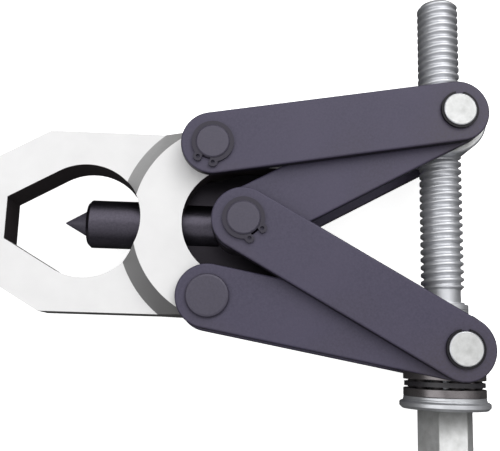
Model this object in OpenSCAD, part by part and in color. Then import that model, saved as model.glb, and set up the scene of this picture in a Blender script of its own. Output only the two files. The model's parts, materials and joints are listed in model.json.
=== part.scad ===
// Ball joint separator: a closed jaw, a sliding ram and a screw-driven pair of toggle links.
// X runs along the ram, Y along the screw spindle and Z through the thickness of the tool.
// The origin is the middle of the flat seat at the closed end of the jaw.

/* [Jaw] */
// Radius of the round part of the jaw opening
jaw_r = 21; // [19:0.5:21.5]
// Distance from the flat seat to the centre of that round part
jaw_reach = 28.5; // [27:0.5:29]
// Slope of the two flats that lead from the round part to the seat
jaw_slope = 30; // [28:1:32]
// Wall left round the closed end of the opening
jaw_wall = 15.3; // [13:0.1:17]
// Thickness of the jaw plate
plate_t = 17; // [15:0.5:20]
// Half the width of the jaw plate
plate_half_w = 33.5; // [32:0.5:35]

/* [Boss] */
// Distance from the seat to the centre of the round boss
boss_x = 83; // [82:0.5:84]
// Radius of the boss at its flat faces
boss_face_r = 36.5; // [36:0.5:38]
// Radius of the boss where its sloping flank meets the plate, before the plate's sides trim it
boss_base_r = 42.5; // [41:0.5:44]
// Thickness of the boss over its two flat faces
boss_t = 30; // [30:0.5:32]
// Distance from the seat to the cut-off ends of the two ears
ear_end_x = 104; // [102:1:106]

/* [Slot] */
// Radius of the round end of the slot between the ears
slot_r = 20.5; // [20.5:0.1:21]
// Distance from the seat to the centre of that round end
slot_x = 84.75; // [84:0.25:86]
// Radius of the round end of the guide groove milled into the slot wall
groove_r = 17.4; // [17.2:0.1:17.6]
// Distance from the seat to the centre of the groove's round end
groove_x = 73.2; // [73:0.1:73.4]

/* [Ram] */
// Diameter of the ram
ram_d = 18; // [16:0.5:18]
// Distance from the seat to the blunt end of the ram
ram_end_x = 28.8; // [28:0.2:31]
// Diameter of the ram's hardened point
point_d = 10.4; // [9:0.2:11]
// Height of the cone on the point
point_h = 9; // [8:0.5:10]
// Thickness of the crosshead's guide tongue
tongue_t = 9.4; // [8:0.2:10]

/* [Linkage] */
// Distance from the seat to the two frame pins
frame_pin_x = 74.5; // [74:0.5:75]
// Distance of each frame pin from the ram axis
frame_pin_y = 27; // [26.5:0.5:28]
// Distance of each trunnion from the ram axis
trunnion_y = 42.8; // [40:0.1:46]
// Pivot to pivot length of the outer links
outer_len = 90.4; // [88:0.2:92]
// Pivot to pivot length of the centre links
centre_len = 88.4; // [87:0.2:89]
// Width of every link, which is also the diameter of its ends
link_w = 22.6; // [20:0.2:24]
// Thickness of every link
link_t = 4; // [3.8:0.1:4.6]
// Diameter of the pins and of the trunnion journals
pin_d = 12; // [12:0.5:12.5]
// Gap between neighbouring link layers
layer_gap = 0.3; // [0.3:0.1:0.5]
// Radial clearance of the open pivot between the centre links and the ram
open_clearance = 0.45; // [0.4:0.05:0.6]

/* [Spindle] */
// Major diameter of the thread
thread_d = 16; // [14:0.5:16]
// Pitch of the thread
thread_pitch = 3; // [2:0.5:4]
// Height of the spindle's top end above the ram axis
spindle_top = 95.5; // [85:0.5:110]
// Width across the flats of the drive hexagon
hex_af = 18; // [15:1:19]
// Length of the drive hexagon
hex_len = 26; // [20:1:32]
// Diameter of the flange above the hexagon
flange_d = 33; // [31.5:0.5:34]

/* [Trunnions] */
// Diameter of the trunnion barrels
barrel_d = 27; // [26:0.5:28]
// Distance from the lower trunnion's pivot down to its bearing seat
seat_drop = 8.2; // [8:0.1:9]

/* [Thrust bearing] */
// Bore of the bearing
bearing_bore = 17; // [17:0.1:17.5]
// Outside diameter of the bearing
bearing_od = 30; // [29:0.5:30]
// Height of the bearing
bearing_h = 9; // [9:0.5:10]
// Number of balls
ball_count = 12; // [8:1:13]
// Diameter of each ball
ball_d = 4.5; // [4.2:0.1:4.6]

/* [Hidden] */

$fn = 96;
eps = 0.01;

// Fits
running = 0.05;
snug = 0.02;
slide_gap = 0.3;
end_gap = 0.15;
// Travel of the ram each way from the position drawn
stroke = 4;

// Levels of the two link layers, from the middle of the tool outwards
boss_z = boss_t / 2;
inner_layer = boss_z + layer_gap;
outer_layer = inner_layer + link_t + layer_gap;
outer_face = outer_layer + link_t;
ring_t = 1;
ring_depth = 0.5;
end_proud = 1.7;
end_chamfer = 0.4;
pin_end = outer_face + end_proud;
short_pin_end = inner_layer + link_t + end_proud;

// Pivot positions
pin_r = pin_d / 2;
link_rise = asin((trunnion_y - frame_pin_y) / outer_len);
trunnion_x = frame_pin_x + outer_len * cos(link_rise);
centre_rise = asin(trunnion_y / centre_len);
centre_pin_x = trunnion_x - centre_len * cos(centre_rise);

// Jaw outline
seat_half_w = (jaw_r - jaw_reach * sin(jaw_slope)) / cos(jaw_slope);
outer_r = jaw_r + jaw_wall;
corner_x = jaw_reach - (outer_r - plate_half_w * cos(jaw_slope)) / sin(jaw_slope);
nose_half_w = (outer_r - (jaw_reach + jaw_wall) * sin(jaw_slope)) / cos(jaw_slope);

// Ram and crosshead
ram_r = ram_d / 2;
ram_chamfer = 1;
point_r = point_d / 2;
point_shank = 10;
point_shank_r = 2.5;
eye_r = link_w / 2 - 0.3;
socket_wall = 2.2;
socket_end_x = centre_pin_x - pin_r - socket_wall;
tongue_r = slot_r - slide_gap;
tongue_x = slot_x + stroke;
wing_r = groove_r - slide_gap;
wing_x = groove_x + stroke;
tongue_end_x = ear_end_x - 2;

// Pin heads and rings
head_r = 7.7;
head_t = end_proud - end_gap;
circlip_r = 7.5;
lug_r = 1.7;
lug_hole_r = 0.7;
lug_turn = 22;
lug_gap = 3;
journal_ring_r = 6.9;
spacer_r = 10;

// Spindle stations along Y
spindle_r = thread_d / 2;
thread_depth = 0.55 * thread_pitch;
seat_y = -trunnion_y - seat_drop;
bearing_bottom = seat_y - bearing_h;
flange_lip = 0.8;
flange_flare = 1.2;
flange_t = 4.5;
flange_bottom = bearing_bottom - flange_t;
hex_bottom = flange_bottom - hex_len;
shank_top = 22;
thread_bottom = -trunnion_y + shank_top;
washer_seat = 12;
top_flat_y = -trunnion_y + washer_seat;
washer_r = 9.3;
washer_t = 2.4;
washer_y = top_flat_y + end_gap;
snap_t = 1.8;
snap_y = washer_y + washer_t + 0.1;
neck_r = spindle_r - thread_depth;
neck_bottom = snap_y + snap_t + 0.85;

// Thrust bearing
race_t = 3;
ball_y = seat_y - bearing_h / 2;
ball_ring_r = (bearing_bore + bearing_od) / 4;
race_groove_r = ball_d / 2 + 0.07;
cage_t = 1.6;
cage_margin = 0.35;

// ---- Shared shapes ----

// Puts a shape that is drawn along Z onto the spindle's axis, with its Z pointing up the spindle.
module on_spindle() {
    translate([trunnion_x, 0, 0]) rotate([-90, 0, 0]) children();
}

// A straight link from the first pivot at the origin to the second along +X.
module link(len, first_hole_r, second_hole_r) {
    linear_extrude(link_t) difference() {
        union() {
            circle(d = link_w);
            translate([len, 0]) circle(d = link_w);
            translate([0, -link_w / 2]) square([len, link_w]);
        }
        circle(first_hole_r);
        translate([len, 0]) circle(second_hole_r);
    }
}

// Places a link in a layer, on the front of the tool or mirrored to its back.
module in_layer(layer, side) {
    mirror([0, 0, side < 0 ? 1 : 0]) translate([0, 0, layer]) children();
}

// An outer link: up is 1 for the upper pair and -1 for the lower pair.
module outer_link(up, layer, side) {
    in_layer(layer, side)
        translate([frame_pin_x, up * frame_pin_y, 0])
            rotate(up * link_rise)
                link(outer_len, pin_r + running, pin_r + running);
}

// A centre link, from the ram's pin to a trunnion: its hole at the ram is the open pivot.
module centre_link(up, layer, side) {
    in_layer(layer, side)
        translate([centre_pin_x, 0, 0])
            rotate(up * centre_rise)
                link(centre_len, pin_r + open_clearance, pin_r + running);
}

// A headed pin along Z with a ring groove near its plain end: its head is at the bottom.
module headed_pin(end_z, ring_z) {
    chamfer = end_chamfer;
    rotate_extrude() polygon([
        [0, -end_z],
        [head_r - chamfer, -end_z],
        [head_r, -end_z + chamfer],
        [head_r, -end_z + head_t],
        [pin_r, -end_z + head_t],
        [pin_r, ring_z],
        [pin_r - ring_depth, ring_z],
        [pin_r - ring_depth, ring_z + ring_t],
        [pin_r, ring_z + ring_t],
        [pin_r, end_z - chamfer],
        [pin_r - chamfer, end_z],
        [0, end_z]
    ]);
}

// A circlip with two drilled lugs, open between them and facing angle.
module circlip(angle) {
    groove_r = pin_r - ring_depth;
    rotate(angle) linear_extrude(ring_t - 2 * snug) difference() {
        union() {
            circle(circlip_r);
            for (side = [-1, 1]) rotate(side * lug_turn) translate([circlip_r, 0]) circle(lug_r);
        }
        circle(groove_r + snug);
        translate([0, -lug_gap / 2]) square([circlip_r + 2 * lug_r, lug_gap]);
        for (side = [-1, 1]) rotate(side * lug_turn) translate([circlip_r, 0]) circle(lug_hole_r);
    }
}

// A plain snap ring with a gap, for a groove of radius groove.
module snap_ring(groove, outside, thickness) {
    gap_w = 3;
    linear_extrude(thickness) difference() {
        circle(outside);
        circle(groove + snug);
        translate([0, -gap_w / 2]) square([outside + 1, gap_w]);
    }
}

// A trunnion: a barrel across the tool with a ring-grooved journal at each end.
module trunnion() {
    chamfer = end_chamfer;
    barrel_r = barrel_d / 2;
    half = [
        [barrel_r - chamfer, boss_z],
        [pin_r, boss_z],
        [pin_r, outer_face + end_gap],
        [pin_r - ring_depth, outer_face + end_gap],
        [pin_r - ring_depth, outer_face + end_gap + ring_t],
        [pin_r, outer_face + end_gap + ring_t],
        [pin_r, pin_end - chamfer],
        [pin_r - chamfer, pin_end]
    ];
    rotate_extrude() polygon(concat(
        [[barrel_r, 0], [barrel_r, boss_z - chamfer]],
        half,
        [[0, pin_end], [0, -pin_end]],
        [for (i = [len(half) - 1:-1:0]) [half[i][0], -half[i][1]]],
        [[barrel_r, -boss_z + chamfer]]
    ));
}

// The pair of journal rings on one trunnion.
module journal_rings() {
    for (side = [-1, 1])
        mirror([0, 0, side < 0 ? 1 : 0])
            translate([0, 0, outer_face + end_gap + snug])
                rotate(90) snap_ring(pin_r - ring_depth, journal_ring_r, ring_t - 2 * snug);
}

// One race of the thrust bearing, with its flat back at z = 0 and its ball track on top.
module race(bore_r) {
    difference() {
        rotate_extrude() translate([bore_r, 0]) square([bearing_od / 2 - bore_r, race_t]);
        rotate_extrude() translate([ball_ring_r, bearing_h / 2]) circle(race_groove_r);
    }
}

// ---- Frame ----

module plate_outline() {
    polygon([
        [-jaw_wall, nose_half_w],
        [corner_x, plate_half_w],
        [boss_x, plate_half_w],
        [boss_x, -plate_half_w],
        [corner_x, -plate_half_w],
        [-jaw_wall, -nose_half_w]
    ]);
}

module jaw_opening() {
    flat_x = jaw_reach - jaw_r * sin(jaw_slope);
    flat_y = jaw_r * cos(jaw_slope);
    translate([jaw_reach, 0]) circle(jaw_r);
    polygon([
        [0, seat_half_w], [flat_x, flat_y], [jaw_reach, 0], [flat_x, -flat_y], [0, -seat_half_w]
    ]);
}

// The round boss, trimmed flush with the two sides of the plate.
module boss() {
    intersection() {
        translate([boss_x, 0, 0]) rotate_extrude() polygon([
            [0, -boss_z],
            [boss_face_r, -boss_z],
            [boss_base_r, -plate_t / 2],
            [boss_base_r, plate_t / 2],
            [boss_face_r, boss_z],
            [0, boss_z]
        ]);
        translate([0, -plate_half_w, -boss_t]) cube([2 * boss_x, 2 * plate_half_w, 2 * boss_t]);
    }
}

// A slot with a round end at x, open towards +X.
module round_slot(x, r) {
    translate([x, 0]) circle(r);
    translate([x, -r]) square([boss_base_r * 2, 2 * r]);
}

module frame() {
    groove_t = tongue_t + 2 * slide_gap;
    color("gainsboro") difference() {
        union() {
            translate([0, 0, -plate_t / 2]) linear_extrude(plate_t) plate_outline();
            boss();
        }
        translate([0, 0, -boss_t]) linear_extrude(2 * boss_t) jaw_opening();
        translate([0, 0, -boss_t]) linear_extrude(2 * boss_t) round_slot(slot_x, slot_r);
        translate([0, 0, -groove_t / 2]) linear_extrude(groove_t) intersection() {
            round_slot(groove_x, groove_r);
            translate([0, -boss_base_r]) square([slot_x, 2 * boss_base_r]);
        }
        translate([ear_end_x, -boss_base_r - 1, -boss_t]) cube([boss_base_r, 2 * boss_base_r + 2, 2 * boss_t]);
        translate([jaw_reach, 0, 0]) rotate([0, 90, 0]) cylinder(r = ram_r + running, h = slot_x - jaw_reach);
        for (side = [-1, 1])
            translate([frame_pin_x, side * frame_pin_y, -boss_t]) cylinder(r = pin_r + snug, h = 2 * boss_t);
    }
}

// ---- Ram ----

module ram() {
    bore_r = point_shank_r;
    color([0.10, 0.10, 0.12]) translate([ram_end_x, 0, 0]) rotate([0, 90, 0]) rotate_extrude() polygon([
        [bore_r, 0],
        [ram_r - ram_chamfer, 0],
        [ram_r, ram_chamfer],
        [ram_r, socket_end_x - ram_end_x],
        [0, socket_end_x - ram_end_x],
        [0, point_shank + 1],
        [bore_r, point_shank + 1]
    ]);
}

module ram_point() {
    shank_r = point_shank_r - snug;
    color([0.16, 0.16, 0.18]) translate([ram_end_x, 0, 0]) rotate([0, 90, 0]) rotate_extrude() polygon([
        [0, -point_h],
        [point_r, 0],
        [shank_r, 0],
        [shank_r, point_shank],
        [0, point_shank]
    ]);
}

module crosshead() {
    color([0.10, 0.10, 0.12]) difference() {
        union() {
            translate([0, 0, -tongue_t / 2]) linear_extrude(tongue_t) intersection() {
                union() {
                    round_slot(tongue_x, tongue_r);
                    round_slot(wing_x, wing_r);
                }
                translate([0, -tongue_r]) square([tongue_end_x, 2 * tongue_r]);
            }
            translate([centre_pin_x, 0, -boss_z]) cylinder(r = eye_r, h = boss_t);
        }
        translate([wing_x - wing_r - 1, 0, 0]) rotate([0, 90, 0])
            cylinder(r = ram_r + snug, h = socket_end_x + snug - wing_x + wing_r + 1);
        translate([centre_pin_x, 0, -boss_t]) cylinder(r = pin_r + snug, h = 2 * boss_t);
    }
}

// ---- Pins ----

module centre_pin() {
    color([0.27, 0.26, 0.30]) translate([centre_pin_x, 0, 0]) headed_pin(pin_end, outer_face + end_gap);
}

module centre_pin_circlip() {
    color([0.20, 0.20, 0.22])
        translate([centre_pin_x, 0, outer_face + end_gap + snug]) circlip(-50);
}

module upper_frame_pin() {
    color([0.27, 0.26, 0.30])
        translate([frame_pin_x, frame_pin_y, 0]) headed_pin(pin_end, outer_face + end_gap);
}

module upper_frame_pin_circlip() {
    color([0.20, 0.20, 0.22])
        translate([frame_pin_x, frame_pin_y, outer_face + end_gap + snug]) circlip(-110);
}

// The upper links run in the outer layer, so a spacer fills the inner layer on each side.
module upper_pin_spacers() {
    spacer_t = link_t + layer_gap;
    color([0.27, 0.26, 0.30])
        for (side = [-1, 1])
            mirror([0, 0, side < 0 ? 1 : 0])
                translate([frame_pin_x, frame_pin_y, boss_z]) difference() {
                    cylinder(r = spacer_r, h = spacer_t);
                    translate([0, 0, -1]) cylinder(r = pin_r + snug, h = spacer_t + 2);
                }
}

// The lower pin is turned round, with its head at the front.
module lower_frame_pin() {
    color([0.27, 0.26, 0.30])
        translate([frame_pin_x, -frame_pin_y, 0]) rotate([180, 0, 0])
            headed_pin(short_pin_end, inner_layer + link_t + end_gap);
}

module lower_frame_pin_circlip() {
    color([0.20, 0.20, 0.22])
        translate([frame_pin_x, -frame_pin_y, -inner_layer - link_t - end_gap - snug]) rotate([180, 0, 0])
            circlip(110);
}

// ---- Links ----

link_colour = [0.37, 0.35, 0.43];

module upper_outer_link_front() {
    color(link_colour) outer_link(1, outer_layer, 1);
}

module upper_outer_link_back() {
    color(link_colour) outer_link(1, outer_layer, -1);
}

module lower_outer_link_front() {
    color(link_colour) outer_link(-1, inner_layer, 1);
}

module lower_outer_link_back() {
    color(link_colour) outer_link(-1, inner_layer, -1);
}

module centre_upper_link_front() {
    color(link_colour) centre_link(1, inner_layer, 1);
}

module centre_upper_link_back() {
    color(link_colour) centre_link(1, inner_layer, -1);
}

module centre_lower_link_front() {
    color(link_colour) centre_link(-1, outer_layer, 1);
}

module centre_lower_link_back() {
    color(link_colour) centre_link(-1, outer_layer, -1);
}

// ---- Trunnions ----

// The upper trunnion is the nut, bored clear of the thread's crests.
module upper_trunnion() {
    color("silver") difference() {
        translate([trunnion_x, trunnion_y, 0]) trunnion();
        on_spindle() cylinder(r = spindle_r + running, h = 2 * spindle_top);
    }
}

module upper_trunnion_rings() {
    color([0.20, 0.20, 0.22]) translate([trunnion_x, trunnion_y, 0]) journal_rings();
}

// The lower trunnion has a flat seat for the bearing below and one for the washer above.
module lower_trunnion() {
    spare = barrel_d / 2;
    color("silver") difference() {
        translate([trunnion_x, -trunnion_y, 0]) trunnion();
        on_spindle() translate([0, 0, -2 * trunnion_y]) cylinder(r = spindle_r + running, h = 2 * trunnion_y);
        translate([trunnion_x - barrel_d, seat_y - spare, -boss_t]) cube([2 * barrel_d, spare, 2 * boss_t]);
        translate([trunnion_x - barrel_d, top_flat_y, -boss_t]) cube([2 * barrel_d, spare, 2 * boss_t]);
    }
}

module lower_trunnion_rings() {
    color([0.20, 0.20, 0.22]) translate([trunnion_x, -trunnion_y, 0]) journal_rings();
}

// ---- Spindle ----

// Thread ridges from bottom to top, as rings one pitch apart.
function thread_profile(bottom, count) = [
    for (i = [0:count - 1], step = [[0, 0.08], [1, 0.42], [1, 0.58], [0, 0.92]])
        [neck_r + thread_depth * step[0], bottom + (i + step[1]) * thread_pitch]
];

module spindle() {
    tip = 2;
    seat_r = bearing_bore / 2 - snug;
    ridges = floor((spindle_top - tip - thread_bottom) / thread_pitch);
    color("silver") {
        on_spindle() rotate_extrude() polygon(concat(
            [
                [0, flange_bottom],
                [flange_d / 2 - flange_lip, flange_bottom],
                [flange_d / 2, flange_bottom + flange_lip],
                [flange_d / 2, bearing_bottom - flange_flare],
                [bearing_od / 2, bearing_bottom],
                [seat_r, bearing_bottom],
                [seat_r, seat_y],
                [spindle_r, seat_y],
                [spindle_r, snap_y],
                [spindle_r - ring_depth, snap_y],
                [spindle_r - ring_depth, snap_y + snap_t],
                [spindle_r, snap_y + snap_t],
                [spindle_r, neck_bottom],
                [neck_r, neck_bottom]
            ],
            thread_profile(thread_bottom, ridges),
            [
                [neck_r, spindle_top - tip / 2],
                [neck_r - tip / 2, spindle_top],
                [0, spindle_top]
            ]
        ));
        on_spindle() translate([0, 0, hex_bottom]) intersection() {
            cylinder(d = hex_af / cos(30), h = hex_len + eps, $fn = 6);
            cylinder(r1 = hex_af / 2, r2 = hex_af / 2 + hex_len, h = hex_len + 1);
        }
    }
}

module spindle_washer() {
    color("silver") on_spindle() translate([0, 0, washer_y]) difference() {
        cylinder(r = washer_r, h = washer_t);
        translate([0, 0, -1]) cylinder(r = spindle_r + snug, h = washer_t + 2);
    }
}

module spindle_snap_ring() {
    color("silver")
        on_spindle() translate([0, 0, snap_y + snug])
            snap_ring(spindle_r - ring_depth, washer_r, snap_t - 2 * snug);
}

// ---- Thrust bearing ----

module bearing_upper_race() {
    color("lightgray") on_spindle() translate([0, 0, seat_y]) rotate([180, 0, 0])
        race(bearing_bore / 2 + 0.2);
}

module bearing_lower_race() {
    color("lightgray") on_spindle() translate([0, 0, bearing_bottom]) race(bearing_bore / 2);
}

module bearing_cage() {
    color([0.20, 0.20, 0.22]) on_spindle() translate([0, 0, ball_y - cage_t / 2]) difference() {
        cylinder(r = bearing_od / 2 - cage_margin, h = cage_t);
        translate([0, 0, -1]) cylinder(r = bearing_bore / 2 + cage_margin, h = cage_t + 2);
        for (i = [0:ball_count - 1]) rotate(i * 360 / ball_count)
            translate([ball_ring_r, 0, -1]) cylinder(r = ball_d / 2 + running, h = cage_t + 2);
    }
}

module bearing_balls() {
    color("white") on_spindle() translate([0, 0, ball_y])
        for (i = [0:ball_count - 1]) rotate(i * 360 / ball_count)
            translate([ball_ring_r, 0, 0]) sphere(d = ball_d);
}

frame();
ram();
ram_point();
crosshead();
centre_pin();
centre_pin_circlip();
upper_frame_pin();
upper_frame_pin_circlip();
upper_pin_spacers();
lower_frame_pin();
lower_frame_pin_circlip();
upper_outer_link_front();
upper_outer_link_back();
lower_outer_link_front();
lower_outer_link_back();
centre_upper_link_front();
centre_upper_link_back();
centre_lower_link_front();
centre_lower_link_back();
upper_trunnion();
upper_trunnion_rings();
lower_trunnion();
lower_trunnion_rings();
spindle();
spindle_washer();
spindle_snap_ring();
bearing_upper_race();
bearing_lower_race();
bearing_cage();
bearing_balls();
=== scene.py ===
"""Ball joint separator: detailed pieces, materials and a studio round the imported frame.

Lengths are in millimetres until a mesh is placed, which scales it to metres.
X runs along the ram, Y along the spindle and Z through the thickness, towards the camera.
"""
import json
import math

import bmesh
import bpy
from mathutils import Matrix, Vector
from mathutils.geometry import tessellate_polygon

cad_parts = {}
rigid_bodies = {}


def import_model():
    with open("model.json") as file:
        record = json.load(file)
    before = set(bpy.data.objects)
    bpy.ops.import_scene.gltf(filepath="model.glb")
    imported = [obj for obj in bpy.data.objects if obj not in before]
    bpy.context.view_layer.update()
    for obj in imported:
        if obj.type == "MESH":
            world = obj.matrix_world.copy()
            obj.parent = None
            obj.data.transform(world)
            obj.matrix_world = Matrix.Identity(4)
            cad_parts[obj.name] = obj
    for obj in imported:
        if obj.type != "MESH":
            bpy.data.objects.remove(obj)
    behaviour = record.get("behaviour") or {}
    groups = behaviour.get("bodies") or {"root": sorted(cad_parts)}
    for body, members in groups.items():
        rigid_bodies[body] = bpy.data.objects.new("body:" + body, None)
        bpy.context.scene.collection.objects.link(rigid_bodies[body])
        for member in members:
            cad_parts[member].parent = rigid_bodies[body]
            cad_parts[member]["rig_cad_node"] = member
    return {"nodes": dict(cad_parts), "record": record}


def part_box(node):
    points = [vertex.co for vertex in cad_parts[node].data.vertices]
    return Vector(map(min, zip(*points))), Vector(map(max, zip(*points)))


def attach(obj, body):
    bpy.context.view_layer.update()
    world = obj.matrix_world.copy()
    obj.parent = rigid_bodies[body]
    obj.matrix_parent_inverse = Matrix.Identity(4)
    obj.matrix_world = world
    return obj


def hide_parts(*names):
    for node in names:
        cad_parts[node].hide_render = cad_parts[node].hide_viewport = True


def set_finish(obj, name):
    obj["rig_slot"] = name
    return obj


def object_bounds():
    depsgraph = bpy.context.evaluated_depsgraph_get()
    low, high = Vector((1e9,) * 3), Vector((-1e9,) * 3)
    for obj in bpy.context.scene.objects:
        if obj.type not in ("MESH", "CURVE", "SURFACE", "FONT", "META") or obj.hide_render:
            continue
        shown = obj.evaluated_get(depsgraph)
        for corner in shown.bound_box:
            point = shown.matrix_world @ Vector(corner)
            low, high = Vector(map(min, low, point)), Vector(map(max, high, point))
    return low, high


MM = 0.001

# Jaw
JAW_R = 21.0
JAW_REACH = 28.5
JAW_SLOPE = math.radians(30)
JAW_WALL = 15.3
PLATE_T = 17.0
PLATE_HALF_W = 33.5
BOSS_X = 83.0
BOSS_FACE_R = 36.5
BOSS_BASE_R = 42.5
BOSS_T = 30.0
EAR_END_X = 104.0
SLOT_R = 20.5
SLOT_X = 84.75
FRAME_PIN_X = 74.5
FRAME_PIN_Y = 27.0
JAW_EDGE = 0.35
BORE_LEN = 50.0
SLOT_OVERRUN = 5.0

# Ram and crosshead
RAM_R = 9.0
RAM_CHAMFER = 1.3
POINT_R = 5.2
POINT_H = 9.0
TONGUE_T = 9.4
TONGUE_X = 88.75
TONGUE_R = 20.2
WING_X = 77.2
WING_R = 17.1
TONGUE_END_X = 102.0
EYE_R = 11.0

# Links and pins
LINK_W = 22.6
LINK_EDGE = 0.7
PIN_R = 6.0
HEAD_R = 7.7
HEAD_T = 1.55
RING_DEPTH = 0.5
RING_T = 1.0
RUNNING = 0.05
OPEN_CLEARANCE = 0.45
SPACER_R = 10.0
SPACER_T = 4.3

# Trunnions
BARREL_R = 13.5
SEAT_DROP = 8.2
WASHER_SEAT = 12.0

# Spindle
SPINDLE_R = 8.0
PITCH = 3.0
THREAD_DEPTH = 1.15
# One pitch of the thread, from root to crest and back: (share of the pitch, share of the full depth)
THREAD_FORM = ((0.0, 1.0), (0.12, 1.0), (0.36, 0.0), (0.64, 0.0), (0.88, 1.0), (1.0, 1.0))
# Where the rows of points lie in one pitch
THREAD_ROWS = (0.0, 0.12, 0.24, 0.36, 0.5, 0.64, 0.76, 0.88)
SPINDLE_TOP = 95.5
SHANK_TOP = 22.0
NECK_R = 6.7
SNAP_RISE = 2.65
SNAP_T = 1.8
SNAP_LAND = 0.85
HEX_AF = 18.0
HEX_LEN = 26.0
HEX_CORNER = 0.35
HEX_FACE_DROP = 0.4
FLANGE_R = 16.5
FLANGE_T = 4.5
HEX_TOP = -64.6

# Thrust bearing
BEARING_H = 9.0
BEARING_R = 15.0
BEARING_BORE_R = 8.5
RACE_T = 3.0
BALL_RING_R = 11.75
TRACK_R = 2.32

# Facets of the round parts
SEGMENTS = 96
BOSS_SEGMENTS = 160
HOLE_SEGMENTS = 64
JAW_STEPS = 72
SLOT_STEPS = 48
BLOCK_STEPS = 36
LINK_STEPS = 40
TRACK_STEPS = 12

# Where the jaw's inner walls get their painted shade, and where the rings on the trunnions turn near black,
# partly as painted shade
INNER_WALL_Y = 21.6
INNER_WALL_X = -1.5
TRUNNION_SIDE_X = 130.0

# CAD nodes that are shown as they are, with a small bevel
RING_NODES = (
    "centre_pin_circlip", "upper_frame_pin_circlip", "lower_frame_pin_circlip",
    "upper_trunnion_rings", "lower_trunnion_rings", "spindle_washer", "spindle_snap_ring", "bearing_cage",
)
RING_BEVEL = 0.12

# Camera: its place in millimetres and its turn in degrees
SENSOR = 36.0
LENS = 50.82
CAMERA_PLACE = (78.44, -46.24, 264.99)
CAMERA_YAW = -2.394
CAMERA_PITCH = 10.242
CAMERA_ROLL = 1.649

# Studio, in metres: each lamp is (name, place, size, power)
LAMP_TARGET = (0.08, 0.0, 0.0)
LAMPS = (
    ("key", (0.38, 0.48, 0.50), (0.5, 0.5), 1.5),
    ("top", (0.12, 0.58, 0.8), (1.3, 1.1), 4.5),
    ("fill", (-0.6, -0.1, 0.7), (0.6, 0.8), 1.6),
)
ROOM_LOW = 0.03
ROOM_HIGH = 0.9
ROOM_RISE_FROM = 0.12
ROOM_RISE_TO = 0.9
# The floor's section: (radius, height above the tool's lowest point)
FLOOR_SECTION = ((2.5, 0.0), (2.9, 0.1), (3.15, 0.4), (3.2, 0.8), (3.2, 2.5))
FLOOR_GLOW = 0.8

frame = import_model()
CAD_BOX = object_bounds()
RECORD = frame["record"]
BODY_OF = {node: body for body, nodes in RECORD["behaviour"]["bodies"].items() for node in nodes}
SLOT_OF = {part["node"]: part["material_slot"] for part in RECORD["subparts"]}


# ---- Outlines and meshes ----

def rounded(points, radius, steps=4, closed=False):
    """The same path with every corner rounded off, as far as its neighbours leave room."""
    path = [Vector(p) for p in points]
    result = []
    for i, corner in enumerate(path):
        if not closed and i in (0, len(path) - 1):
            result.append(corner)
            continue
        before = path[i - 1] - corner
        after = path[(i + 1) % len(path)] - corner
        corner_angle = before.angle(after)
        if corner_angle > math.radians(176):
            result.append(corner)
            continue
        reach = radius / math.tan(corner_angle / 2)
        reach = min(reach, 0.45 * before.length, 0.45 * after.length)
        start = corner + before.normalized() * reach
        end = corner + after.normalized() * reach
        for k in range(steps + 1):
            t = k / steps
            result.append(start * (1 - t) ** 2 + corner * 2 * t * (1 - t) + end * t ** 2)
    return result


def circle(radius, x=0.0, y=0.0, count=SEGMENTS):
    angles = [2 * math.pi * i / count for i in range(count)]
    return [Vector((x + radius * math.cos(a), y + radius * math.sin(a))) for a in angles]


def arc(radius, x, start, sweep, steps):
    """Points along part of a circle whose centre is on the X axis."""
    angles = [start + sweep * i / steps for i in range(steps + 1)]
    return [(x + radius * math.cos(a), radius * math.sin(a)) for a in angles]


def lathe(profile, closed=False, segments=SEGMENTS, capped=(True, True)):
    """A turned shape about Z from (radius, height) points: a closed ring, or open with its ends capped."""
    bm = bmesh.new()
    profile = [point for point in profile if point[0] > 1e-6]
    rings = [[bm.verts.new((p.x, p.y, height)) for p in circle(radius, count=segments)]
             for radius, height in profile]
    pairs = list(zip(rings, rings[1:]))
    if closed:
        pairs.append((rings[-1], rings[0]))
    else:
        for ring, has_cap in zip((rings[0], rings[-1]), capped):
            if has_cap:
                bm.faces.new(ring)
    for low, high in pairs:
        for i in range(segments):
            j = (i + 1) % segments
            bm.faces.new((low[i], low[j], high[j], high[i]))
    bmesh.ops.recalc_face_normals(bm, faces=bm.faces)
    return bm


def plate(loops_at, levels):
    """A flat part with holes: loops_at(inset) gives its outline and holes, levels are (height, inset)."""
    bm = bmesh.new()
    layers = []
    for height, inset in levels:
        loops = loops_at(inset)
        layers.append([[bm.verts.new((p.x, p.y, height)) for p in loop] for loop in loops])
    for low, high in zip(layers, layers[1:]):
        for low_loop, high_loop in zip(low, high):
            for i, vert in enumerate(low_loop):
                j = (i + 1) % len(low_loop)
                bm.faces.new((vert, low_loop[j], high_loop[j], high_loop[i]))
    for layer, (height, inset) in ((layers[0], levels[0]), (layers[-1], levels[-1])):
        flat = [vert for loop in layer for vert in loop]
        points = [[Vector((p.x, p.y, 0)) for p in loop] for loop in loops_at(inset)]
        for triangle in tessellate_polygon(points):
            bm.faces.new([flat[i] for i in triangle])
    bmesh.ops.recalc_face_normals(bm, faces=bm.faces)
    return bm


def soft_levels(low, high, edge, steps=4):
    """Heights and insets of a plate whose two rims are rounded to the radius edge."""
    quarter = [math.pi / 2 * k / steps for k in range(steps + 1)]
    below = [(low + edge * (1 - math.sin(a)), edge * (1 - math.cos(a))) for a in reversed(quarter)]
    above = [(high - edge * (1 - math.sin(a)), edge * (1 - math.cos(a))) for a in quarter]
    return below + above


def prism(outline, low, high):
    bm = bmesh.new()
    bottom = [bm.verts.new((p[0], p[1], low)) for p in outline]
    top = [bm.verts.new((p[0], p[1], high)) for p in outline]
    bm.faces.new(bottom)
    bm.faces.new(top)
    for i, vert in enumerate(bottom):
        j = (i + 1) % len(bottom)
        bm.faces.new((vert, bottom[j], top[j], top[i]))
    bmesh.ops.recalc_face_normals(bm, faces=bm.faces)
    return bm


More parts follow.
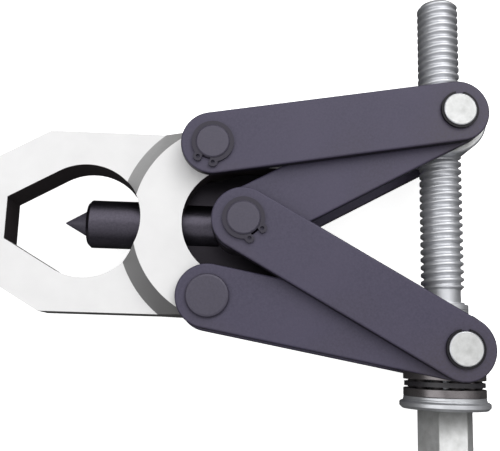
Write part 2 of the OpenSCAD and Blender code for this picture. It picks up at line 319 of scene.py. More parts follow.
def joined(*parts):
    """Several closed meshes as one."""
    whole = bmesh.new()
    for part in parts:
        mesh = bpy.data.meshes.new("part")
        part.to_mesh(mesh)
        part.free()
        whole.from_mesh(mesh)
        bpy.data.meshes.remove(mesh)
    return whole


def moved(bm, matrix):
    bm.transform(matrix)
    return bm


def temporary(bm):
    mesh = bpy.data.meshes.new("temporary")
    bm.to_mesh(mesh)
    bm.free()
    ob = bpy.data.objects.new("temporary", mesh)
    bpy.context.scene.collection.objects.link(ob)
    return ob


def evaluated(ob):
    """The mesh of an object with its modifiers applied; the object is removed."""
    bpy.context.view_layer.update()
    result = bmesh.new()
    mesh = bpy.data.meshes.new_from_object(ob.evaluated_get(bpy.context.evaluated_depsgraph_get()))
    result.from_mesh(mesh)
    bpy.data.meshes.remove(mesh)
    old = ob.data
    bpy.data.objects.remove(ob)
    bpy.data.meshes.remove(old)
    return result


def combined(first, second, operation):
    """Union, difference or intersection of two closed meshes."""
    a = temporary(first)
    b = temporary(second)
    change = a.modifiers.new("boolean", "BOOLEAN")
    change.operation = operation
    change.solver = "EXACT"
    change.object = b
    result = evaluated(a)
    old = b.data
    bpy.data.objects.remove(b)
    bpy.data.meshes.remove(old)
    return result


def tidy(bm):
    """Merges the doubled points that a boolean leaves, so that a bevel can run along whole edges."""
    bmesh.ops.remove_doubles(bm, verts=bm.verts, dist=0.002)
    return bm


# ---- Placing pieces ----

def centre(node):
    """The middle of a CAD node's box, in millimetres."""
    low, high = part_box(node)
    return (low + high) / 2 / MM


def low_end(node):
    """The point on a part's own axis at its low X end."""
    low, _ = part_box(node)
    middle = centre(node)
    return Vector((low.x / MM, middle.y, middle.z))


def along(axis):
    """Turns a shape drawn along Z so that it lies along the given axis."""
    return Vector((0, 0, 1)).rotation_difference(Vector(axis)).to_matrix().to_4x4()


def show(name, bm, node, matrix=None, bevel=0.0, bevel_angle=35.0):
    """Adds a piece in place of a CAD node, on that node's body and with its material slot."""
    mesh = bpy.data.meshes.new(name)
    bm.transform(Matrix.Scale(MM, 4))
    bm.to_mesh(mesh)
    bm.free()
    ob = bpy.data.objects.new(name, mesh)
    bpy.context.scene.collection.objects.link(ob)
    place = matrix.copy() if matrix else Matrix.Identity(4)
    place.translation = place.translation * MM
    ob.matrix_world = place
    finish_edges(ob, bevel, bevel_angle)
    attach(ob, BODY_OF[node])
    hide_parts(node)
    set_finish(ob, SLOT_OF[node])
    return ob


def finish_edges(ob, bevel, angle=35.0):
    """Smooth shading with flat faces kept flat, and a real bevel where one is asked for."""
    for polygon in ob.data.polygons:
        polygon.use_smooth = True
    if bevel:
        edge = ob.modifiers.new("bevel", "BEVEL")
        edge.width = bevel * MM
        edge.segments = 3
        edge.limit_method = "ANGLE"
        edge.angle_limit = math.radians(angle)
        edge.use_clamp_overlap = True
        edge.miter_outer = "MITER_ARC"
    normals = ob.modifiers.new("normals", "WEIGHTED_NORMAL")
    normals.weight = 80
    normals.keep_sharp = True


# ---- Frame ----

def opening_outline():
    """The jaw opening: a flat seat, two slopes and the round part."""
    flat_x = JAW_REACH - JAW_R * math.sin(JAW_SLOPE)
    flat_y = JAW_R * math.cos(JAW_SLOPE)
    seat_y = (JAW_R - JAW_REACH * math.sin(JAW_SLOPE)) / math.cos(JAW_SLOPE)
    start = math.atan2(-flat_y, flat_x - JAW_REACH)
    return [(0, seat_y), (0, -seat_y)] + arc(JAW_R, JAW_REACH, start, -2 * start, JAW_STEPS)


def plate_outline():
    """The plate round the opening, with sloping corners and a flat nose."""
    outer_r = JAW_R + JAW_WALL
    corner_x = JAW_REACH - (outer_r - PLATE_HALF_W * math.cos(JAW_SLOPE)) / math.sin(JAW_SLOPE)
    nose_y = (outer_r - (JAW_REACH + JAW_WALL) * math.sin(JAW_SLOPE)) / math.cos(JAW_SLOPE)
    half = [(-JAW_WALL, nose_y), (corner_x, PLATE_HALF_W), (BOSS_X, PLATE_HALF_W)]
    return half + [(x, -y) for x, y in reversed(half)]


def slot_outline():
    """The round-ended slot between the two ears, run on past their ends so that it cuts them through."""
    open_end = EAR_END_X + SLOT_OVERRUN
    return arc(SLOT_R, SLOT_X, math.pi / 2, math.pi, SLOT_STEPS) + [(open_end, -SLOT_R), (open_end, SLOT_R)]


def jaw_frame():
    """The plate and the boss in one, with the jaw opening, the slot, the ram's bore and the pin holes."""
    half_boss = BOSS_T / 2
    half_plate = PLATE_T / 2
    boss = lathe([
        (0, -half_boss), (BOSS_FACE_R, -half_boss), (BOSS_BASE_R, -half_plate),
        (BOSS_BASE_R, half_plate), (BOSS_FACE_R, half_boss), (0, half_boss),
    ], segments=BOSS_SEGMENTS)
    boss = moved(boss, Matrix.Translation((BOSS_X, 0, 0)))
    trim = prism([
        (0, -PLATE_HALF_W), (EAR_END_X, -PLATE_HALF_W), (EAR_END_X, PLATE_HALF_W), (0, PLATE_HALF_W),
    ], -BOSS_T, BOSS_T)
    boss = combined(boss, trim, "INTERSECT")
    body = combined(prism(plate_outline(), -half_plate, half_plate), boss, "UNION")
    body = combined(body, prism(opening_outline(), -BOSS_T, BOSS_T), "DIFFERENCE")
    body = combined(body, prism(slot_outline(), -BOSS_T, BOSS_T), "DIFFERENCE")
    bore_r = RAM_R + RUNNING
    bore = lathe([(0, 0), (bore_r, 0), (bore_r, BORE_LEN), (0, BORE_LEN)])
    bore = moved(bore, Matrix.Translation((JAW_REACH, 0, 0)) @ along((1, 0, 0)))
    body = combined(body, bore, "DIFFERENCE")
    for side in (-1, 1):
        hole = lathe([(0, -BOSS_T), (PIN_R, -BOSS_T), (PIN_R, BOSS_T), (0, BOSS_T)])
        hole = moved(hole, Matrix.Translation((FRAME_PIN_X, side * FRAME_PIN_Y, 0)))
        body = combined(body, hole, "DIFFERENCE")
    show("jaw_frame", tidy(body), "frame", bevel=JAW_EDGE, bevel_angle=28)


# ---- Ram ----

def ram():
    """The plain rod, chamfered at its jaw end."""
    low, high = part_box("ram")
    length = (high.x - low.x) / MM
    profile = [(0, 0), (RAM_R - RAM_CHAMFER, 0), (RAM_R, RAM_CHAMFER), (RAM_R, length), (0, length)]
    place = Matrix.Translation(low_end("ram")) @ along((1, 0, 0))
    show("ram_body", lathe(rounded(profile, 0.4)), "ram", place)


def ram_point():
    """The cone on the ram, with a small blunt tip."""
    tip_r = 0.25
    profile = [
        (0, 0.15), (tip_r, 0.3), (POINT_R - 0.4, POINT_H - 0.6), (POINT_R - 0.1, POINT_H), (0, POINT_H + 1),
    ]
    place = Matrix.Translation(low_end("ram_point")) @ along((1, 0, 0))
    show("hardened_point", lathe(rounded(profile, 0.3)), "ram_point", place)


def crosshead():
    """The block in the slot: a guide tongue with two wings and the round eye for the centre pin."""
    half = TONGUE_T / 2

    def rounded_end(x, r):
        return arc(r, x, math.pi / 2, math.pi, BLOCK_STEPS) + [(TONGUE_END_X, -r), (TONGUE_END_X, r)]

    block = combined(
        prism(rounded_end(TONGUE_X, TONGUE_R), -half, half),
        prism(rounded_end(WING_X, WING_R), -half, half), "UNION")
    eye = lathe([
        (0, -BOSS_T / 2), (EYE_R, -BOSS_T / 2), (EYE_R, BOSS_T / 2), (0, BOSS_T / 2),
    ])
    eye = moved(eye, Matrix.Translation((centre("centre_pin").x, 0, 0)))
    block = combined(block, eye, "UNION")
    show("crosshead_block", tidy(block), "crosshead", bevel=0.5)


# ---- Pins ----

def headed_pin(name, node, head_at_front):
    """A pin with a chamfered head at one end and a ring groove near the other."""
    low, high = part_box(node)
    half = (high.z - low.z) / 2 / MM
    ring = half - HEAD_T - 0.02
    profile = [
        (0, -half + 0.02), (HEAD_R - 1.0, -half + 0.1), (HEAD_R - 0.4, -half + 0.25), (HEAD_R, -half + 0.7),
        (HEAD_R, -half + HEAD_T), (PIN_R, -half + HEAD_T), (PIN_R, ring), (PIN_R - RING_DEPTH, ring),
        (PIN_R - RING_DEPTH, ring + RING_T), (PIN_R, ring + RING_T), (PIN_R, half - 0.4),
        (PIN_R - 0.5, half - 0.05), (0, half),
    ]
    middle = centre(node)
    turn = along((0, 0, -1)) if head_at_front else Matrix.Identity(4)
    place = Matrix.Translation((middle.x, middle.y, 0)) @ turn
    show(name, lathe(rounded(profile, 0.2)), node, place)


def pin_spacers():
    """The two collars that fill the inner link layer on the upper frame pin."""
    collars = []
    for side in (-1, 1):
        low = min(side * BOSS_T / 2, side * (BOSS_T / 2 + SPACER_T))
        high = low + SPACER_T
        ring = rounded([
            (PIN_R + 0.02, low), (SPACER_R, low), (SPACER_R, high), (PIN_R + 0.02, high),
        ], 0.4, closed=True)
        collars.append(lathe(ring, closed=True))
    middle = centre("upper_pin_spacers")
    show("pin_collars", joined(*collars), "upper_pin_spacers", Matrix.Translation((middle.x, middle.y, 0)))


# ---- Links ----

def link(name, node, start, end, start_hole, end_hole):
    """A straight link lying from one pivot to the other, with rounded rims and bored ends."""
    span = Vector(end) - Vector(start)
    length = span.length

    def loops_at(inset):
        r = LINK_W / 2 - inset
        far_end = arc(r, length, -math.pi / 2, math.pi, LINK_STEPS)
        near_end = arc(r, 0, math.pi / 2, math.pi, LINK_STEPS)
        outline = [Vector(point) for point in far_end + near_end]
        near_hole = circle(start_hole + 0.5 * inset, count=HOLE_SEGMENTS)
        far_hole = circle(end_hole + 0.5 * inset, length, count=HOLE_SEGMENTS)
        return [outline, near_hole, far_hole]

    low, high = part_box(node)
    bm = plate(loops_at, soft_levels(0, (high.z - low.z) / MM, LINK_EDGE))
    turn = Matrix.Rotation(math.atan2(span.y, span.x), 4, "Z")
    place = Matrix.Translation((start[0], start[1], low.z / MM)) @ turn
    return show(name, bm, node, place)


def links():
    """The outer links from the frame to the trunnions, and the centre links from the ram to them."""
    ram_pin = centre("centre_pin").xy
    for way, sign in (("upper", 1), ("lower", -1)):
        frame_pin = Vector((FRAME_PIN_X, sign * FRAME_PIN_Y))
        trunnion = centre(f"{way}_trunnion").xy
        trunnion.y = sign * pivot_height()
        for side in ("front", "back"):
            outer = f"{way}_outer_link_{side}"
            link(f"{outer}_bar", outer, frame_pin, trunnion, PIN_R + RUNNING, PIN_R + RUNNING)
            inner = f"centre_{way}_link_{side}"
            link(f"{inner}_bar", inner, ram_pin, trunnion, PIN_R + OPEN_CLEARANCE, PIN_R + RUNNING)


def pivot_height():
    """Distance of the trunnion pivots from the ram's axis."""
    return centre("upper_trunnion").y


# ---- Trunnions ----

def trunnion_blank(half):
    """A barrel across the tool with a ring-grooved journal at each end."""
    shoulder = BOSS_T / 2
    ring = half - HEAD_T
    side = [
        (BARREL_R, 0), (BARREL_R, shoulder - 0.6), (BARREL_R - 0.6, shoulder), (PIN_R, shoulder),
        (PIN_R, ring), (PIN_R - RING_DEPTH, ring), (PIN_R - RING_DEPTH, ring + RING_T),
        (PIN_R, ring + RING_T), (PIN_R, half - 0.3), (PIN_R - 0.35, half - 0.04), (0, half),
    ]
    profile = [(r, -z) for r, z in reversed(side)] + side[1:]
    return lathe(rounded(profile, 0.15, steps=3))


def trunnions():
    """The two cross-nuts; the lower one is cut flat above for the washer and below for the bearing."""
    for way, sign, name in (("upper", 1, "upper_nut"), ("lower", -1, "lower_block")):
        node = f"{way}_trunnion"
        low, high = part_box(node)
        body = trunnion_blank((high.z - low.z) / 2 / MM)
        reach = 3 * BARREL_R
        bore_r = SPINDLE_R + RUNNING
        bore = lathe([(0, -reach), (bore_r, -reach), (bore_r, reach), (0, reach)])
        body = combined(body, moved(bore, along((0, 1, 0))), "DIFFERENCE")
        if way == "lower":
            for seat, far in ((WASHER_SEAT, reach), (-reach, -SEAT_DROP)):
                block = prism([(-reach, seat), (reach, seat), (reach, far), (-reach, far)], -reach, reach)
                body = combined(body, block, "DIFFERENCE")
        place = Matrix.Translation((centre(node).x, sign * pivot_height(), 0))
        show(name, tidy(body), node, place, bevel=0.3)


# ---- Spindle ----

def thread_depth_at(phase):
    """How far below the crest the flank lies, over one pitch, as a share of the full depth."""
    phase = phase % 1.0
    for (a, depth_a), (b, depth_b) in zip(THREAD_FORM, THREAD_FORM[1:]):
        if phase <= b:
            return depth_a + (depth_b - depth_a) * (phase - a) / (b - a)
    return 1.0


def spindle_ring_radius(angle, height, bottom, top):
    """Radius of the threaded part: a right-hand thread that is chamfered to its root at both ends."""
    depth = THREAD_DEPTH * thread_depth_at(height / PITCH - angle / (2 * math.pi))
    return min(SPINDLE_R - depth, NECK_R + (height - bottom), NECK_R + (top - height))


def threaded_part(bottom, top):
    """The helical surface between two heights, as sheared rows that follow the thread."""
    turns = int((top - bottom) / PITCH) + 3
    bm = bmesh.new()
    columns = []
    for i in range(SEGMENTS):
        angle = 2 * math.pi * i / SEGMENTS
        column = []
        for turn in range(turns):
            for step in THREAD_ROWS:
                raw = (math.floor(bottom / PITCH) - 1 + turn + step + angle / (2 * math.pi)) * PITCH
                height = min(max(raw, bottom), top)
                radius = spindle_ring_radius(angle, height, bottom, top)
                column.append(bm.verts.new((radius * math.cos(angle), radius * math.sin(angle), height)))
        columns.append(column)
    for i in range(SEGMENTS):
        last = i == SEGMENTS - 1
        here = columns[i]
        there = columns[0][len(THREAD_ROWS):] if last else columns[i + 1]
        for k in range(min(len(here), len(there)) - 1):
            bm.faces.new((here[k], there[k], there[k + 1], here[k + 1]))
    bmesh.ops.remove_doubles(bm, verts=bm.verts, dist=1e-4)
    bmesh.ops.dissolve_degenerate(bm, edges=bm.edges, dist=1e-4)
    return bm


def turned_part(bottom, pivot):
    """The plain lower half of the spindle: flange, bearing seat, groove and shank, from the bottom up."""
    bearing_top = pivot - SEAT_DROP
    bearing_bottom = bearing_top - BEARING_H
    flange_bottom = bearing_bottom - FLANGE_T
    snap = pivot + WASHER_SEAT + SNAP_RISE
    snap_top = snap + SNAP_T
    neck = snap_top + SNAP_LAND
    rim = flange_bottom + 2.3
    waist_r = FLANGE_R - 1.3
    seat_r = BEARING_BORE_R - 0.02
    profile = [
        (0, flange_bottom), (FLANGE_R - 1.0, flange_bottom), (FLANGE_R, flange_bottom + 1.0),
        (FLANGE_R, rim), (FLANGE_R - 0.5, rim + 0.45), (waist_r, rim + 0.6), (waist_r, rim + 1.0),
        (BEARING_R, rim + 1.3), (BEARING_R, bearing_bottom), (seat_r, bearing_bottom),
        (seat_r, bearing_top), (SPINDLE_R, bearing_top), (SPINDLE_R, snap),
        (SPINDLE_R - RING_DEPTH, snap), (SPINDLE_R - RING_DEPTH, snap_top), (SPINDLE_R, snap_top),
        (SPINDLE_R, neck), (NECK_R, neck), (NECK_R, bottom),
    ]
    return rounded(profile, 0.25, steps=3)


def hexagon(top):
    """The drive hexagon, with its lower corners turned off at 30 degrees."""
    corner_r = HEX_AF / 2 / math.cos(math.pi / 6)
    corners = circle(corner_r, count=6)
    bottom = top - HEX_LEN
    body = prism(rounded(corners, HEX_CORNER, steps=2, closed=True), bottom, top)
    face_r = HEX_AF / 2 - HEX_FACE_DROP
    spread = HEX_LEN * math.tan(math.radians(60))
    cone = lathe([(0, bottom), (face_r, bottom), (face_r + spread, top), (0, top)])
    return combined(body, cone, "INTERSECT")


def spindle():
    """The whole screw: flange and shank, thread, chamfered end and drive hexagon."""
    pivot = -pivot_height()
    thread_bottom = pivot + SHANK_TOP
    lower = lathe(turned_part(thread_bottom, pivot), capped=(True, False))
    thread_top = SPINDLE_TOP - 0.4
    end_profile = rounded([(NECK_R, thread_top), (NECK_R - 0.8, SPINDLE_TOP - 0.05), (0, SPINDLE_TOP)], 0.3)
    end = lathe(end_profile, capped=(False, True))
    rod = joined(lower, threaded_part(thread_bottom, thread_top), end)
    bmesh.ops.remove_doubles(rod, verts=rod.verts, dist=0.004)
    bmesh.ops.recalc_face_normals(rod, faces=rod.faces)
    flange_bottom = pivot - SEAT_DROP - BEARING_H - FLANGE_T
    whole = joined(rod, hexagon(flange_bottom + 0.01))
    place = Matrix.Translation((centre("spindle").x, 0, 0)) @ Matrix.Rotation(-math.pi / 2, 4, "X")
    show("drive_screw", whole, "spindle", place)


# ---- Thrust bearing ----

def bearing_race(name, node, bore_r, faces_up):
    """A grooved ring; its flat back is at z = 0 and its ball track is above."""
    track = []
    for k in range(TRACK_STEPS + 1):
        a = math.radians(-150 + 120 * k / TRACK_STEPS)
        track.append((BALL_RING_R + TRACK_R * math.cos(a), BEARING_H / 2 + TRACK_R * math.sin(a)))
    low_points = [p for p in track if p[1] < RACE_T]
    profile = [(bore_r, 0), (BEARING_R, 0), (BEARING_R, RACE_T)]
    profile += sorted(low_points, key=lambda p: -p[0])
    profile += [(bore_r, RACE_T)]
    ring = lathe(rounded(profile, 0.35, steps=3, closed=True), closed=True)
    middle = centre(node)
    low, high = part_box(node)
    base = low.y / MM if faces_up else high.y / MM
    turn = along((0, 1, 0)) if faces_up else along((0, -1, 0))
    show(name, ring, node, Matrix.Translation((middle.x, base, 0)) @ turn)


# ---- Materials ----

class Finish:
    """A procedural material while it is being put together."""

    def __init__(self, name):
        self.material = bpy.data.materials.new(name)
        self.material.use_nodes = True
        self.tree = self.material.node_tree
        self.shader = self.tree.nodes["Principled BSDF"]

    def node(self, kind, **settings):
        made = self.tree.nodes.new(kind)
        for key, value in settings.items():
            setattr(made, key, value)
        return made

    def link(self, source, target):
        self.tree.links.new(source, target)

    def position(self, stretch=(1, 1, 1)):
        """Position on the piece itself, in metres, scaled along each axis."""
        coordinates = self.node("ShaderNodeTexCoord")
        mapping = self.node("ShaderNodeMapping")
        mapping.inputs["Scale"].default_value = stretch
        self.link(coordinates.outputs["Object"], mapping.inputs["Vector"])
        return mapping.outputs["Vector"]

    def split(self, output):
        """X, Y and Z of one of the texture coordinates of the piece, as three outputs."""
        coordinates = self.node("ShaderNodeTexCoord")
        parts = self.node("ShaderNodeSeparateXYZ")
        self.link(coordinates.outputs[output], parts.inputs["Vector"])
        return parts.outputs

    def noise(self, scale, detail=4.0, stretch=(1, 1, 1), roughness=0.55):
        made = self.node("ShaderNodeTexNoise")
        made.inputs["Scale"].default_value = scale
        made.inputs["Detail"].default_value = detail
        made.inputs["Roughness"].default_value = roughness
        self.link(self.position(stretch), made.inputs["Vector"])
        return made.outputs["Fac"]

    def ranged(self, value, low, high, to_low=0.0, to_high=1.0):
        """Maps low..high onto to_low..to_high, held at the ends."""
        made = self.node("ShaderNodeMapRange")
        made.inputs["From Min"].default_value = low
        made.inputs["From Max"].default_value = high
        made.inputs["To Min"].default_value = to_low
        made.inputs["To Max"].default_value = to_high
        self.link(value, made.inputs["Value"])
        return made.outputs["Result"]

    def maths(self, operation, first, second=None):
        made = self.node("ShaderNodeMath", operation=operation)
        for socket, value in zip(made.inputs, (first, second)):
            if isinstance(value, (int, float)):
                socket.default_value = value
            elif value is not None:
                self.link(value, socket)
        return made.outputs["Value"]

    def blend(self, factor, first, second):
        """A colour between two others, each a colour or another node's output."""
        made = self.node("ShaderNodeMix", data_type="RGBA")
        self.link(factor, made.inputs["Factor"])
        sockets = [s for s in made.inputs if s.type == "RGBA"]
        for socket, colour in zip(sockets, (first, second)):
            if isinstance(colour, tuple):
                socket.default_value = (*colour, 1)
            else:
                self.link(colour, socket)
        return [s for s in made.outputs if s.type == "RGBA"][0]

    def bump(self, height, strength, distance_mm):
        made = self.node("ShaderNodeBump")
        made.inputs["Strength"].default_value = strength
        made.inputs["Distance"].default_value = distance_mm * MM
        self.link(height, made.inputs["Height"])
        self.link(made.outputs["Normal"], self.shader.inputs["Normal"])

    def edge_wear_and_sheen(self, radius_mm, low, high):
        """How much a spot lies on a convex or concave edge, from 0 to 1."""
        soft = self.node("ShaderNodeBevel", samples=4)
        soft.inputs["Radius"].default_value = radius_mm * MM
        plain = self.node("ShaderNodeNewGeometry")
        dot = self.node("ShaderNodeVectorMath", operation="DOT_PRODUCT")
        self.link(soft.outputs["Normal"], dot.inputs[0])
        self.link(plain.outputs["Normal"], dot.inputs[1])
        return self.ranged(dot.outputs["Value"], high, low)

    def colour(self, source):
        if isinstance(source, tuple):
            self.shader.inputs["Base Color"].default_value = (*source, 1)
        else:
            self.link(source, self.shader.inputs["Base Color"])

    def roughness(self, source):
        if isinstance(source, (int, float)):
            self.shader.inputs["Roughness"].default_value = source
        else:
            self.link(source, self.shader.inputs["Roughness"])

    def metallic(self, value):
        self.shader.inputs["Metallic"].default_value = value


def jaw_finish():
    """Bright ground faces; outer sides coloured mid-grey as painted shade, darker still where they face
    down; walls of the opening and the slot coloured near black as painted shade, lighter grey where they
    face up as painted light.
    """
    made = Finish("jaw_steel")
    normal = made.split("Normal")
    place = made.split("Object")
    upright = made.maths("ABSOLUTE", normal["Z"])
    is_face = made.ranged(upright, 0.93, 0.985)
    is_wall = made.ranged(upright, 0.35, 0.15)
    near_axis = made.maths("LESS_THAN", made.maths("ABSOLUTE", place["Y"]), INNER_WALL_Y * MM)
    past_seat = made.maths("GREATER_THAN", place["X"], INNER_WALL_X * MM)
    # Painted shade mask: the walls of the jaw opening and of the slot, near the ram's axis and past the
    # seat
    inner = made.maths("MULTIPLY", made.maths("MULTIPLY", near_axis, past_seat), is_wall)
    grain = made.noise(900.0, 5.0, (0.25, 1, 1))
    patches = made.noise(60.0, 3.0)
    face = made.blend(made.ranged(patches, 0.3, 0.7), (0.715, 0.712, 0.715), (0.775, 0.772, 0.775))
    # Painted shade: the outer sides are coloured mid-grey, far below the faces' grey
    side = made.blend(grain, (0.27, 0.268, 0.27), (0.35, 0.348, 0.35))
    # Painted shade: sides that face down are coloured darker still
    side = made.blend(made.ranged(normal["Y"], -0.45, 0.25), (0.17, 0.168, 0.17), side)
    # Painted light: inner walls that face up, towards the lamps, get a lighter grey in place of the painted
    # shade
    lit = made.ranged(normal["Y"], 0.3, 0.7)
    # Painted shade colour of the inner walls: near black with a little grain
    dark = made.blend(grain, (0.020, 0.015, 0.017), (0.036, 0.028, 0.031))
    dark = made.blend(lit, dark, (0.38, 0.375, 0.38))
    colour = made.blend(is_face, side, face)
    made.colour(made.blend(inner, colour, dark))
    made.metallic(0.0)
    made.roughness(made.ranged(grain, 0.3, 0.7, 0.38, 0.5))
    made.bump(grain, 0.06, 0.2)
    return made.material


def link_finish():
    """Violet-grey satin coating: fine grain, faint warm patches, rims lighter as part wear and part painted
    highlight, and side walls coloured near black as painted shade.
    """
    made = Finish("link_finish")
    grain = made.noise(1400.0, 6.0)
    patches = made.noise(45.0, 4.0)
    tint = made.noise(16.0, 1.0)
    cool = made.blend(made.ranged(patches, 0.3, 0.7), (0.039, 0.034, 0.064), (0.050, 0.043, 0.078))
    base = made.blend(made.ranged(tint, 0.52, 0.70), cool, (0.050, 0.042, 0.060))
    speckled = made.blend(made.ranged(grain, 0.35, 0.75), base, (0.064, 0.056, 0.092))
    # Rims coloured lighter, part wear and part painted highlight
    rim = made.edge_wear_and_sheen(0.6, 0.80, 0.97)
    face = made.blend(made.maths("MULTIPLY", rim, 0.35), speckled, (0.13, 0.12, 0.15))
    # Painted shade: the links' side walls are coloured near black, for the shade in the gaps between the
    # links
    painted_shade_sides = made.ranged(made.maths("ABSOLUTE", made.split("Normal")["Z"]), 0.6, 0.15)
    made.colour(made.blend(painted_shade_sides, face, (0.010, 0.008, 0.014)))
    made.metallic(0.1)
    made.shader.inputs["Specular IOR Level"].default_value = 0.42
    made.roughness(made.ranged(grain, 0.3, 0.7, 0.46, 0.58))
    made.bump(grain, 0.12, 0.12)
    return made.material


def dark_finish(name, low, high, roughness, metallic=0.2):
    """A dark coating with a little variation, for the ram, pins and rings."""
    made = Finish(name)
    grain = made.noise(1600.0, 5.0)
    made.colour(made.blend(made.ranged(grain, 0.3, 0.7), low, high))
    made.metallic(metallic)
    made.roughness(made.ranged(grain, 0.3, 0.7, roughness - 0.05, roughness + 0.06))
    made.bump(grain, 0.1, 0.08)
    return made.material


def black_finish():
    """Black oxide, half-gloss; faces that look along Z, such as the crosshead's flats deep in the slot, are
    coloured near black as painted shade.
    """
    made = Finish("black_steel")
    painted_shade_flats = made.ranged(made.maths("ABSOLUTE", made.split("Normal")["Z"]), 0.990, 0.999)
    grain = made.noise(1600.0, 5.0)
    turned = made.blend(made.ranged(grain, 0.3, 0.7), (0.062, 0.057, 0.073), (0.086, 0.079, 0.100))
    # Painted shade: faces that look along Z get the near black colour
    made.colour(made.blend(painted_shade_flats, turned, (0.022, 0.020, 0.024)))
    made.metallic(1.0)
    made.roughness(made.ranged(grain, 0.3, 0.7, 0.30, 0.38))
    made.bump(grain, 0.1, 0.08)
    return made.material


def ring_finish():
    """Rings: violet-grey like the pins, but near black on the trunnions beside the spindle, partly as
    painted shade for the dark crescents at the journals.
    """
    made = Finish("spring_steel")
    on_trunnion = made.maths("GREATER_THAN", made.split("Object")["X"], TRUNNION_SIDE_X * MM)
    # Near black on the trunnions: black rings, and partly painted shade round the journals
    made.colour(made.blend(on_trunnion, (0.036, 0.032, 0.046), (0.006, 0.005, 0.008)))
    made.shader.inputs["Specular IOR Level"].default_value = 0.25
    made.metallic(0.0)
    made.roughness(0.5)
    made.bump(made.noise(1600.0, 5.0), 0.1, 0.08)
    return made.material


def plated_finish():
    """Bright zinc plate: satin on turned surfaces, duller on the journals' ends and the hexagon."""
    made = Finish("plated_steel")
    end_face = made.ranged(made.maths("ABSOLUTE", made.split("Normal")["Z"]), 0.985, 0.998)
    below_flange = made.maths("LESS_THAN", made.split("Object")["Z"], HEX_TOP * MM)
    dull = made.maths("MAXIMUM", end_face, below_flange)
    grain = made.noise(1500.0, 4.0)
    clouds = made.noise(260.0, 5.0)
    spread = made.ranged(clouds, 0.3, 0.7)
    satin = made.blend(spread, (0.58, 0.59, 0.62), (0.68, 0.69, 0.72))
    worn = made.blend(spread, (0.50, 0.505, 0.50), (0.68, 0.685, 0.685))
    made.colour(made.blend(dull, satin, worn))
    made.metallic(0.72)
    smooth = made.ranged(grain, 0.3, 0.7, 0.34, 0.44)
    made.roughness(made.maths("ADD", smooth, made.maths("MULTIPLY", dull, 0.2)))
    made.bump(grain, 0.05, 0.04)
    return made.material


def race_finish():
    """Oiled bearing steel, which reads dark between the bright trunnion and flange."""
    made = Finish("bearing_steel")
    grain = made.noise(1500.0, 4.0, (1, 1, 6))
    clouds = made.noise(140.0, 3.0)
    made.colour(made.blend(made.ranged(clouds, 0.3, 0.7), (0.17, 0.155, 0.16), (0.28, 0.26, 0.265)))
    made.metallic(0.8)
    made.roughness(made.ranged(grain, 0.3, 0.7, 0.26, 0.36))
    made.bump(grain, 0.05, 0.04)
    return made.material


def materials():
    """One finish for each material slot."""
    return {
        "jaw_steel": jaw_finish(),
        "link_finish": link_finish(),
        "black_steel": black_finish(),
        "point_steel": dark_finish("point_steel", (0.060, 0.055, 0.075), (0.085, 0.078, 0.10), 0.35, 0.3),
        "pin_steel": dark_finish("pin_steel", (0.046, 0.041, 0.064), (0.062, 0.055, 0.082), 0.44),
        "spring_steel": ring_finish(),
        "plated_steel": plated_finish(),
        "bearing_steel": race_finish(),
        # The cage is coloured near black, partly as painted shade of the recess between the races
        "cage_steel": dark_finish("cage_steel", (0.030, 0.028, 0.032), (0.050, 0.047, 0.053), 0.40),
    }


def dress():
    """Gives every piece and every CAD node still shown its material, and CAD rings a small bevel."""
    finishes = materials()
    for ob in bpy.context.scene.objects:
        if ob.type != "MESH":
            continue
        if "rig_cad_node" in ob:
            slot = SLOT_OF[ob["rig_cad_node"]]
        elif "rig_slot" in ob:
            slot = ob["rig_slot"]
        else:
            continue
        ob.data.materials.clear()
        ob.data.materials.append(finishes[slot])
    for node in RING_NODES:
        finish_edges(frame["nodes"][node], RING_BEVEL)


# ---- Studio ----

def camera():
    """A close view from in front of the tool and below the ram, tipped up."""
    data = bpy.data.cameras.new("camera")
    data.sensor_width = SENSOR
    data.lens = LENS
    data.clip_start = 0.01
    data.clip_end = 20.0
    cam = bpy.data.objects.new("camera", data)
    bpy.context.scene.collection.objects.link(cam)
    yaw = Matrix.Rotation(math.radians(CAMERA_YAW), 4, "Y")
    pitch = Matrix.Rotation(math.radians(CAMERA_PITCH), 4, "X")
    roll = Matrix.Rotation(math.radians(CAMERA_ROLL), 4, "Z")
    cam.matrix_world = Matrix.Translation(Vector(CAMERA_PLACE) * MM) @ yaw @ pitch @ roll
    bpy.context.scene.camera = cam


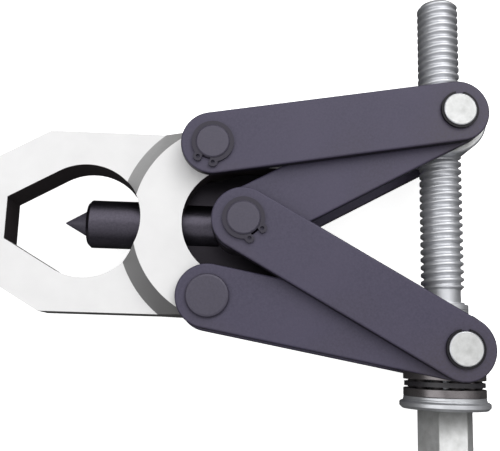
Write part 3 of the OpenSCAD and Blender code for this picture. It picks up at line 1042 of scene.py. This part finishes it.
def floor():
    """A pale floor that curves up into a far wall; only the camera sees it, so it lights nothing."""
    low = CAD_BOX[0].z
    bm = lathe([(radius, low + rise) for radius, rise in FLOOR_SECTION])
    mesh = bpy.data.meshes.new("floor")
    bm.to_mesh(mesh)
    bm.free()
    ob = bpy.data.objects.new("floor", mesh)
    bpy.context.scene.collection.objects.link(ob)
    made = Finish("floor")
    made.colour(made.blend(made.noise(4.0, 2.0), (0.90, 0.90, 0.90), (0.93, 0.93, 0.93)))
    made.roughness(0.9)
    made.shader.inputs["Emission Color"].default_value = (1, 1, 1, 1)
    made.shader.inputs["Emission Strength"].default_value = FLOOR_GLOW
    ob.data.materials.append(made.material)
    ob.visible_diffuse = False
    ob.visible_glossy = False
    ob.visible_shadow = False


def area_light(name, position, size, power):
    """A rectangular lamp that faces the middle of the tool."""
    data = bpy.data.lights.new(name, "AREA")
    data.shape = "RECTANGLE"
    data.size, data.size_y = size
    data.energy = power
    ob = bpy.data.objects.new(name, data)
    bpy.context.scene.collection.objects.link(ob)
    ob.location = position
    direction = Vector(LAMP_TARGET) - Vector(position)
    ob.rotation_euler = direction.to_track_quat("-Z", "Y").to_euler()


def studio():
    """A key light at the upper right, a broad one overhead, a fill at the left and a room dark below."""
    for name, position, size, power in LAMPS:
        area_light(name, position, size, power)
    world = bpy.data.worlds.new("studio")
    world.use_nodes = True
    tree = world.node_tree
    background = tree.nodes["Background"]
    coordinates = tree.nodes.new("ShaderNodeTexCoord")
    split = tree.nodes.new("ShaderNodeSeparateXYZ")
    rise = tree.nodes.new("ShaderNodeMapRange")
    levels = {
        "From Min": ROOM_RISE_FROM, "From Max": ROOM_RISE_TO, "To Min": ROOM_LOW, "To Max": ROOM_HIGH,
    }
    for socket, value in levels.items():
        rise.inputs[socket].default_value = value
    tree.links.new(coordinates.outputs["Generated"], split.inputs["Vector"])
    tree.links.new(split.outputs["Z"], rise.inputs["Value"])
    tree.links.new(rise.outputs["Result"], background.inputs["Strength"])
    background.inputs["Color"].default_value = (1, 1, 1, 1)
    bpy.context.scene.world = world
    bpy.context.scene.view_settings.view_transform = "Standard"


def build():
    """Every detailed piece, and then the finishes."""
    jaw_frame()
    ram()
    ram_point()
    crosshead()
    headed_pin("centre_pin_turned", "centre_pin", False)
    headed_pin("upper_pin_turned", "upper_frame_pin", False)
    headed_pin("lower_pin_turned", "lower_frame_pin", True)
    pin_spacers()
    links()
    trunnions()
    spindle()
    bearing_race("upper_race_ring", "bearing_upper_race", BEARING_BORE_R + 0.2, False)
    bearing_race("lower_race_ring", "bearing_lower_race", BEARING_BORE_R, True)
    dress()


build()
floor()
studio()
camera()
